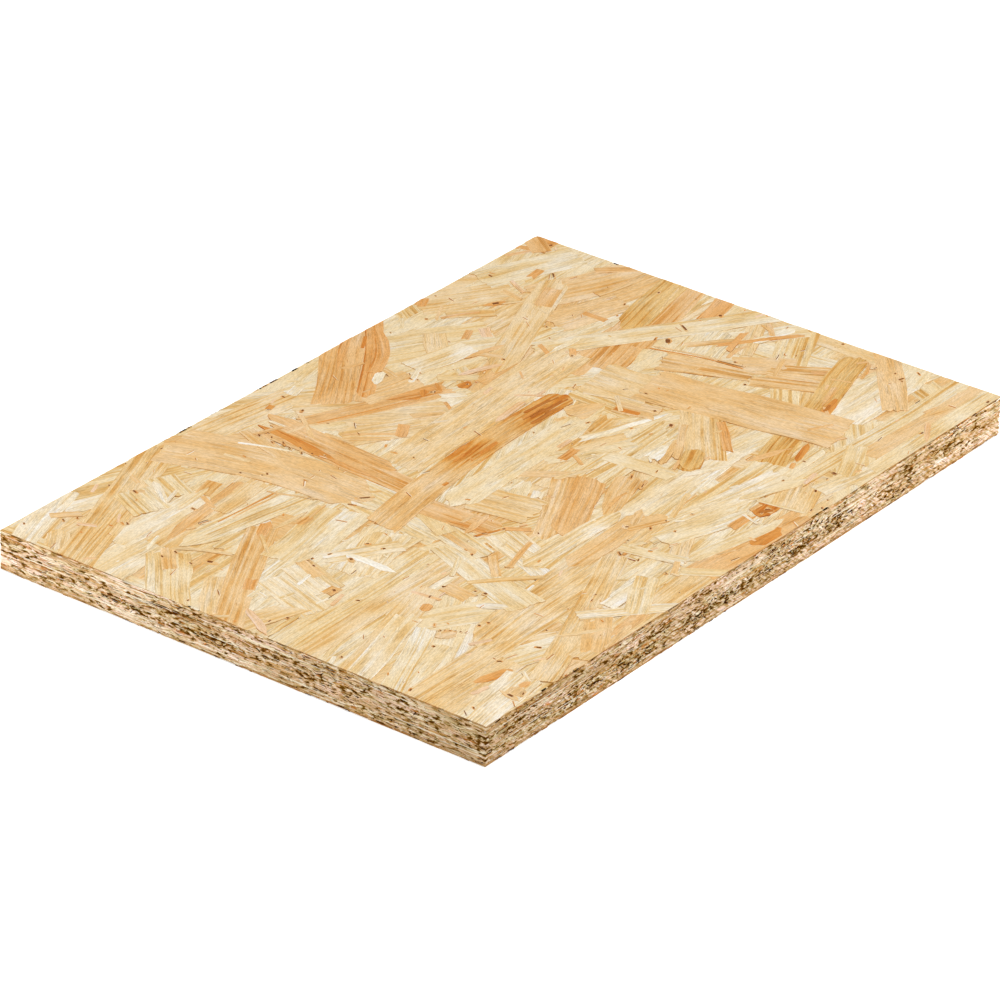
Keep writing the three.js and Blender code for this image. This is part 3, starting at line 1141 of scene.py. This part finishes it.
lay("orange", 317, 73, 323, 65, 3, lines=0.6, ends=(2, 2))
lay("ochre", 284, 50, 343, 67, 12.5, lines=0.6, ends=(0.4, 1.2), tips=(0, 4))
lay("amber", 288, 47, 306, 51.5, 4.5, lines=0.6, tips=(1, 9))
lay("honey", 323, 53, 343, 61, 1.6, lines=0.2, bow=-1, tips=(4, 3))
lay("tan", 287, 128, 299, 89, (18, 9), lines=0.9, ends=(1.6, 1.6))
lay("honey", 264, 142, 301, 152, 18, lines=0.75)
lay("wheat", 312, 104, 345, 118, 8, lines=0.3)
lay("white", 324, 108, 347, 101, 5, lines=0.0, ends=(2, 2))
lay("honey", 334, 104, 344, 113, 2.5, lines=0.2, ends=(2, 2))
lay("honey", 304, 107, 323, 106, 1.8, lines=0.1, bow=2, tips=(3, 3))
lay("honey", 288, 148, 358, 163, 22, lines=0.7)
lay("orange", 322, 133, 355, 141, 9, lines=0.5, ends=(2, 2))
lay("ochre", 298, 156, 354, 167, 14, lines=0.7, tips=(10, 0))
lay("wheat", 318, 153, 350, 163, 0.9, lines=0.0, tips=(6, 3))
lay("tan", 304, 129, 323, 112, 4.5, lines=0.5, ends=(2, 2))
lay("orange", 312, 119, 345, 94, 2.8, lines=0.5, ends=(2, 2))
lay("orange", 311, 111, 331, 116, 3, lines=0.3, ends=(2, 2))
lay("wheat", 257, 141, 260, 110, 28, lines=0.15, ends=(1.2, 1.2))
lay("tan", 265, 120, 279.5, 31, 28, lines=0.1, ends=(0.8, 0.4), slant=(0, 0.5))
lay("straw", 260, 175, 357, 112, 13, lines=0.3, ends=(1.0, 1.0))
lay("amber", 292, 141, 303.5, 90, 0.9, lines=0.0, bow=1.2, tips=(4, 10))
lay("tan", 294, 141, 305, 90, 1.2, lines=0.0, bow=1.2, tips=(4, 10))
lay("wheat", 242, 136, 247, 120, 2.2, lines=0.1)

# The far left
lay("pale", 20, 198, 74, 198, 12, lines=0.15)
lay("wheat", 1, 212, 16, 223, 9, lines=0.7, tips=(4, 4))
lay("wheat", -8, 198, 98, 238, 17, lines=0.7)
lay("straw", 50, 203, 58, 222, 17, lines=0.5)
lay("cream", 66, 204, 74, 221, 14, lines=0.5)
lay("honey", 34, 184, 92, 193, 6, lines=0.5, tips=(14, 2))
lay("wheat", 66, 184, 93, 187, 9, lines=0.4)
lay("tan", 73, 198, 85, 201, 7, lines=0.6, ends=(0.4, 0.4))
lay("cream", 33, 178, 99, 167, 14, lines=0.6, tips=(16, 0))
lay("amber", 52, 178.5, 96, 177, 0.7, lines=0.2, tips=(10, 2))
lay("honey", 58, 176, 96, 175, 0.9, lines=0.2, tips=(10, 2))
lay("tan", 21, 233, 31, 224, 4, lines=0.6)
lay("tan", 57, 222, 61, 217, 2, lines=0.6)

# The far middle
lay("honey", 146, 207, 211, 179, (9, 13), lines=0.3, ends=(2, 1.6))
lay("amber", 146, 204, 202, 180, 0.9, lines=0.2, tips=(6, 10))
lay("tan", 178, 203, 208, 196, 16, lines=0.4)
lay("orange", 184, 193, 209, 181, 7, lines=0.8, ends=(2, 2), tips=(9, 3))
lay("wheat", 146, 186, 178, 168, 16, lines=0.3)
lay("tan", 144, 187, 160, 169, 3, lines=0.5, ends=(2, 2))
lay("honey", 149, 188, 164, 171, 2, lines=0.4, ends=(2, 2))
lay("straw", 144, 200, 158, 192, 6, lines=0.3)
lay("orange", 162, 168, 173, 174, 5, lines=0.4, ends=(2, 2))
lay("tan", 179, 176, 192, 167, 5, lines=0.4, ends=(2, 2))
lay("orange", 194, 166, 200, 175, 1.6, lines=0.1, tips=(1, 2))
lay("pale", 201, 178, 210, 171, 4, lines=0.1, ends=(2, 2))
lay("straw", 214, 190, 226, 176, 5, lines=0.3)
lay("amber", 212, 176, 221, 177.5, 5, lines=0.7, ends=(2, 2), tips=(2, 3))
lay("honey", 221, 173, 247, 171, 6, lines=0.6, ends=(2, 2))
lay("amber", 196, 183, 203, 187, 4, lines=0.6, ends=(2, 2), tips=(3, 2))
lay("orange", 205, 180, 210, 187, 3, lines=0.5, ends=(2, 2), tips=(2, 2))
lay("honey", 168, 206, 230.5, 247.5, 20.5, lines=0.4, ends=(0.8, 1), slant=(-2.8, 0), tips=(1, 0))
lay("orange", 179, 200, 240, 243, 8, lines=1.0, bow=-1.5, ends=(0.8, 1), tips=(6, 0))
lay("tan", 206, 212, 203, 202, 3.5, lines=0.3, ends=(0.3, 1))
lay("white", 191, 204.2, 204, 210.6, 4.6, lines=0.0, ends=(2, 2), tips=(5, 1.5))
lay("pale", 163, 226, 172, 228, 5, lines=0.0, ends=(2, 2))
lay("amber", 147, 225, 152, 226, 3, lines=0.6, ends=(2, 2))
lay("wheat", 142, 153, 269, 162, (20, 24), lines=0.2, ends=(1.0, 0.7))
lay("tan", 98, 236, 113, 143, (31, 26), lines=0.1, ends=(0.7, 0.5), tips=(0, 13), bow=5)
lay("tan", 91, 185, 101, 158, 1.2, lines=0.3, bow=-1, tips=(6, 3))
lay("tan", 119, 194, 128, 221, 8, lines=0.4)
lay("white", 116, 218, 126, 190, 1.4, lines=0.0, tips=(3, 6))
lay("honey", 134, 219, 131, 138, 13, lines=0.7, ends=(2.4, 0.6), tips=(7, 0))
lay("amber", 134.5, 221, 129.5, 174, (2.5, 7), lines=0.7, tips=(10, 14))
lay("orange", 129, 182, 128, 150, 3, lines=0.6, ends=(2, 2), tips=(10, 10))
lay("honey", 143.5, 224, 138, 150, 8.5, lines=0.4, tips=(12, 8))
lay("pale", 139.5, 221, 139, 206, 1.6, lines=0.0, tips=(4, 5))

# The far right
lay("wheat", 232, 174, 322, 207, 14, lines=0.5, ends=(0.4, 1), tips=(14, 6))
lay("honey", 295, 196, 313, 203, 8, lines=0.25)
lay("wheat", 263, 223, 279, 208, 7, lines=0.5)
lay("tan", 297, 219, 295, 207, 3, lines=0.3)
lay("pinkish", 301, 210, 307, 222, 2.2, lines=0.1)
lay("orange", 314, 217, 324, 218, 4, lines=0.5, ends=(2, 2))
lay("tan", 255, 222, 270, 230, 1.5, lines=0.1, tips=(2, 2))
lay("orange", 249, 202, 258, 206, 3.5, lines=0.6, ends=(2, 2))
lay("pinkish", 257, 196, 263, 203, 5, lines=0.2)
lay("tan", 243, 190, 247, 180, 4, lines=0.2)
lay("orange", 262, 236, 270, 240, 5, lines=0.4, ends=(2, 2))
lay("orange", 335, 241, 339, 231, 3.5, lines=0.6, ends=(2, 2))
lay("orange", 337, 232, 354, 234, 10, lines=0.5)
lay("honey", 338, 228, 347, 241, 9, lines=0.6)
lay("honey", 338, 200, 352, 185, 5, lines=0.5)
lay("honey", 328, 186, 342, 183, 1.5, lines=0.1, bow=-1.5)
lay("orange", 302, 181, 302, 167, 3.5, lines=0.4)
lay("tan", 295, 180, 306, 180, 1.6, lines=0.2)
lay("orange", 266, 158, 272, 163, 3, lines=0.5, ends=(2, 2))
lay("orange", 261, 167, 266, 176, 2.2, lines=0.2, ends=(2, 2))

slivers(top, 190)

# The long bowed strand of dark honey across the middle
lay("tan", 98, 127.5, 237, 138.5, (16, 12), lines=0.4, bow=4, ends=(0.5, 0.6), slant=(2, 0), tips=(0, 4),
    stains=((0.40, 0.64), (0.69, 1.15)))
lay("amber", 156, 138.4, 172, 139.4, 1.6, lines=0.8, tips=(5, 6))
lay("amber", 160, 142.6, 178, 143.4, 1.8, lines=0.6, tips=(6, 5))
lay("amber", 166, 134.4, 190, 135.2, 2, lines=0.6, tips=(7, 8))
lay("amber", 138.5, 128.8, 145.5, 129.4, 1.7, lines=0.6, tips=(2, 2))
lay("russet", 199, 134.6, 228, 133.9, 2.2, lines=0.8, tips=(8, 5))
lay("russet", 204, 137.6, 234, 137.0, 1.5, lines=0.8, tips=(8, 4))
lay("amber", 201, 140.2, 229, 139.6, 1.3, lines=0.8, tips=(8, 6))
lay("russet", 207, 143.0, 232, 140.6, 1.4, lines=0.8, tips=(6, 6))
lay("amber", 196, 144.3, 216, 144.3, 0.9, lines=0.6, tips=(6, 6))

# Dark flecks of bark, and painted shade for small gaps, each by its middle, length, width and turn in
# degrees
for x, y, long, wide, degrees in (
    (159, 52, 4, 1.8, 55), (164, 44, 4, 1.0, 35), (173, 43, 3, 0.8, 45), (139.5, 41, 6, 0.9, 55),
    (138, 17.5, 3, 0.9, 85), (149, 33, 2.4, 1.3, 20), (206, 17, 5, 3.0, 50), (140, 32.5, 4, 0.7, 20),
    (69, 119, 3, 1.7, 60), (84, 114.5, 3.4, 1.6, 60), (67, 128, 3, 0.9, -15), (83, 122, 4, 1.0, -50),
    (65, 77, 4, 0.9, 5), (110, 149, 3, 1.5, -45), (257.5, 114, 4, 0.8, 85), (317.5, 138, 9, 1.1, 60),
    (336.5, 132.8, 4, 1.8, 40), (348, 78, 3, 1.2, 70), (303, 136, 6, 2.4, 35), (301, 141, 4, 0.8, 20),
    (291, 88, 2.4, 1.2, 30), (249, 14.5, 4, 1.6, 80), (243, 14, 3, 0.8, 40), (301, 7, 3, 0.9, 0),
    (342, 1.5, 4, 1.2, 5), (285, 213, 7, 1.9, -28), (323, 211, 9, 0.8, 45), (346, 229.5, 2.6, 1.8, 20),
    (202, 183, 3, 1.4, 50), (206, 197, 5, 0.7, 75), (209, 200, 3, 0.8, 60), (160, 227, 4, 0.8, 80),
    (152, 153, 2.6, 1.0, 60), (27, 165, 4, 0.8, 80), (24, 177, 5, 0.9, 60), (30, 175, 4, 0.9, 65),
    (58, 220, 4, 0.9, 70), (36, 205, 4, 0.8, 60), (22, 226, 4, 0.7, 60), (27, 223, 3, 0.7, 50),
    (33, 160.5, 7, 2.2, -70), (10, 236, 4, 0.8, 50), (247, 102, 3.4, 1.8, 70), (101, 190, 2.4, 1.2, 20),
    (24, 7, 7, 1.8, 80), (28, 4, 7, 0.9, 15), (46.6, 57.6, 2.2, 0.9, 20), (47.6, 56.2, 2.2, 0.9, 20),
    (48.6, 54.6, 2.4, 1.0, 20), (49.6, 52.8, 2.4, 1.0, 20), (50.6, 51, 2.2, 0.9, 20),
    (59, 48.5, 3, 1.2, 35), (63, 47, 2.6, 1.2, 60), (35, 52, 3.4, 1.2, 0), (80.5, 62, 3.6, 1.7, 62),
    (80, 66.5, 2.2, 0.9, 10), (60, 21, 5, 1.2, -65), (42, 26, 4, 0.8, -60), (8, 12, 3.4, 0.8, 50),
    (7, 74, 3, 0.9, 40), (45, 96.5, 3, 0.6, -60), (21.5, 106.5, 3, 0.8, 10), (17, 108.5, 3, 1.2, 60),
    (102, 85, 3, 0.9, 50), (60, 131, 2.6, 0.8, 0), (55.5, 126.5, 4, 1.0, 70), (45, 108, 5, 1.6, 55),
    (281, 183, 3.4, 1.1, 15), (245, 178.5, 2.4, 1.2, 60), (319.5, 170.5, 4, 0.8, 20),
    (338, 166, 4, 1.1, 15), (266, 158.5, 4, 1.4, 20), (254.5, 226.5, 2.4, 1.2, 35),
    (241.5, 90, 5, 1.8, 35), (305, 103, 3, 0.9, 30), (250, 30, 3, 0.8, 80), (339, 45.5, 3.4, 0.9, 15),
    (4, 147, 3.4, 0.9, 15), (194.5, 75.5, 5, 0.7, 30), (191, 67.5, 7, 0.6, 20), (205, 70.5, 5, 0.5, 15),
    (232, 12, 3, 1.2, 30), (229, 4, 3, 0.9, 60), (222, 2, 4, 0.8, 40), (119, 92, 5, 0.8, -30),
    (127, 88.5, 4, 0.8, -30), (112.5, 146.5, 8, 0.9, -42), (103, 189, 4, 0.9, 45),
    (97, 198, 3, 1.2, 80), (104.5, 147, 7, 0.7, -65), (127, 213, 4, 0.9, 65), (129, 208, 4, 0.7, 40),
    (125.5, 205, 4, 0.7, 70), (128, 201, 5, 0.8, 55), (126, 196, 4, 0.7, 70), (129, 193, 4, 0.8, 60),
    (126, 190, 4, 0.7, 50), (128, 186, 4, 0.9, 75), (130, 181, 3, 0.7, 60), (207, 194, 3, 0.8, 60),
    (203, 182, 3, 0.9, 30), (217, 176, 3, 0.8, 20), (168, 35, 3, 0.8, 20), (133, 76, 3, 0.7, 50),
    (231, 27, 3, 0.8, 0),
):
    fleck(x, y, long, wide, degrees)

# Small splits, each a pale lip that is a painted highlight beside a gap of painted shade, and flecks by
# chance
split_count = 110
chance_fleck_count = 75
for _ in range(split_count):
    middle = chance.uniform((0, 0), top.size)
    reach = pointing(math.radians(chance.uniform(-40, 110)), chance.uniform(0.8, 3.2))
    beside = np.array([-reach[1], reach[0]]) / np.hypot(*reach) * chance.uniform(0.3, 0.5)
    split = chance.uniform(0.25, 0.6)
    top.lay_over(middle, "pale", reach, split, 0.0, tips=(0.5, 0.8))
    gap_shade_tone = chance.choice(["amber", "russet", "umber"], p=[0.5, 0.35, 0.15])
    top.lay_over(middle + beside, gap_shade_tone, reach, 0.7 * split, 0.0, tips=(0.8, 0.5))
for _ in range(chance_fleck_count):
    x, y = chance.uniform((0, 0), top.size)
    long = chance.uniform(1.0, 5.0)
    wide = 0.2 + long * chance.uniform(0.08, 0.2)
    degrees = chance.uniform(-30, 110)
    fleck(x, y, long, wide, degrees, chance.choice(["umber", "amber"]))

# Thin strands that lie over all the rest
lay("straw", 1, 105.4, 24, 106.8, 2.6, lines=0.4, tips=(6, 6))
lay("orange", 199, 211.5, 237, 239, 6, lines=0.8, bow=-3, tips=(1.5, 14))
lay("orange", 192, 224.5, 238, 253, 4, lines=0.8, tips=(20, 0))
lay("amber", 212, 228, 229, 238.5, 1.8, lines=0.8, tips=(6, 6))
lay("russet", 290, 48.2, 301, 50.6, 1.6, lines=0.5, tips=(2, 4))
lay("russet", 200.5, 20.4, 208.5, 14.2, 2.0, lines=0.6, tips=(3, 2))
lay("honey", 198.5, 22.4, 210, 22.0, 2.2, lines=0.4, tips=(4, 2))
lay("pale", 194, 11.4, 210, 12.8, 3.0, lines=0.2, tips=(3, 5))
lay("ochre", 213, 61.5, 231.5, 70, 8.5, lines=1.0, ends=(1.4, 1.4), tips=(3, 3))
lay("russet", 212, 135.8, 236, 136.2, 0.8, lines=0.5, tips=(6, 4))
lay("russet", 201, 139.0, 224, 138.6, 0.7, lines=0.5, tips=(7, 6))
lay("russet", 214, 142.2, 235, 139.4, 0.8, lines=0.5, tips=(7, 4))

for piece in top.pressed(["top_strands_1", "top_strands_2", "top_strands_3"], up=True):
    piece.data.materials.append(face_finish)
    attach(piece, "root")
    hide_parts("osb_panel")

# ------------------------------------------------------------------------------------------------
# The studio: a pale floor that takes the board's shadow, a soft even light from above, a small lamp
# for the far end of each of the two near sides, and the camera on a long lens, above one corner.

floor_reach = 4.0
floor_grey = 0.86
floor_glow = 0.45  # more of the floor where it is seen, which is white then beside the shadow
sky_light = 0.45  # of white, where the sky lights the board and isn't seen itself
camera_place = Vector((-1.6425, -1.2144, 1.0873))
camera_aim = Vector((-0.0168, -0.0061, 0.0090))
camera_roll = math.radians(1.46)
camera_lens = 206.5
sensor = 36.0

floor_shape = bmesh.new()
bmesh.ops.create_grid(floor_shape, x_segments=1, y_segments=1, size=floor_reach)
floor_mesh = bpy.data.meshes.new("floor")
floor_shape.to_mesh(floor_mesh)
floor_shape.free()
floor = bpy.data.objects.new("floor", floor_mesh)
bpy.context.scene.collection.objects.link(floor)


def is_seen(tree):
    """1 where the background itself is seen, in gloss and glass too, and 0 where it only lights."""
    path = put(tree, "ShaderNodeLightPath")
    rays = ("Is Camera Ray", "Is Glossy Ray", "Is Transmission Ray")
    return combined(tree, "MAXIMUM", *(path.outputs[ray] for ray in rays))


floor_finish, tree, shader = new_finish("white_floor", roughness=0.9, gloss=0.1)
shader.inputs["Base Color"].default_value = (floor_grey, floor_grey, floor_grey, 1)
glow = put(tree, "ShaderNodeEmission")
tree.links.new(combined(tree, "MULTIPLY", is_seen(tree), floor_glow), glow.inputs["Strength"])
both = put(tree, "ShaderNodeAddShader", shader.outputs["BSDF"], glow.outputs["Emission"])
tree.links.new(both.outputs["Shader"], tree.nodes["Material Output"].inputs["Surface"])
floor_mesh.materials.append(floor_finish)

sky = bpy.data.worlds.new("white_studio")
sky.use_nodes = True
tree = sky.node_tree
background = tree.nodes["Background"]
background.inputs["Color"].default_value = (1, 1, 1, 1)
brightness = between(tree, is_seen(tree), 0.0, 1.0, sky_light, 1.0)
tree.links.new(brightness, background.inputs["Strength"])
bpy.context.scene.world = sky


def soft_box(name, place, aim, size, watts):
    """A square soft light at a place, turned to its aim."""
    lamp = bpy.data.lights.new(name, "AREA")
    lamp.shape = "SQUARE"
    lamp.size = size
    lamp.energy = watts
    made = bpy.data.objects.new(name, lamp)
    made.location = place
    made.rotation_euler = (Vector(aim) - Vector(place)).to_track_quat("-Z", "Y").to_euler()
    bpy.context.scene.collection.objects.link(made)


soft_box("overhead", (-0.23, -0.60, 2.0), (0, 0, 0), 1.2, 32.8)
soft_box("far left", (-0.45, 0.35, 0.06), (-0.17, 0.12, 0.01), 0.11, 1.0)
soft_box("far right", (0.37, -0.50, 0.06), (0.14, -0.12, 0.01), 0.11, 1.0)

lens = bpy.data.cameras.new("camera")
lens.lens = camera_lens
lens.sensor_width = sensor
lens.clip_end = 20
camera = bpy.data.objects.new("camera", lens)
camera.location = camera_place
camera.rotation_mode = "QUATERNION"
towards = (camera_aim - camera_place).to_track_quat("-Z", "Y")
camera.rotation_quaternion = towards @ Quaternion((0, 0, 1), camera_roll)
bpy.context.scene.collection.objects.link(camera)
bpy.context.scene.camera = camera
bpy.context.scene.view_settings.view_transform = "Standard"
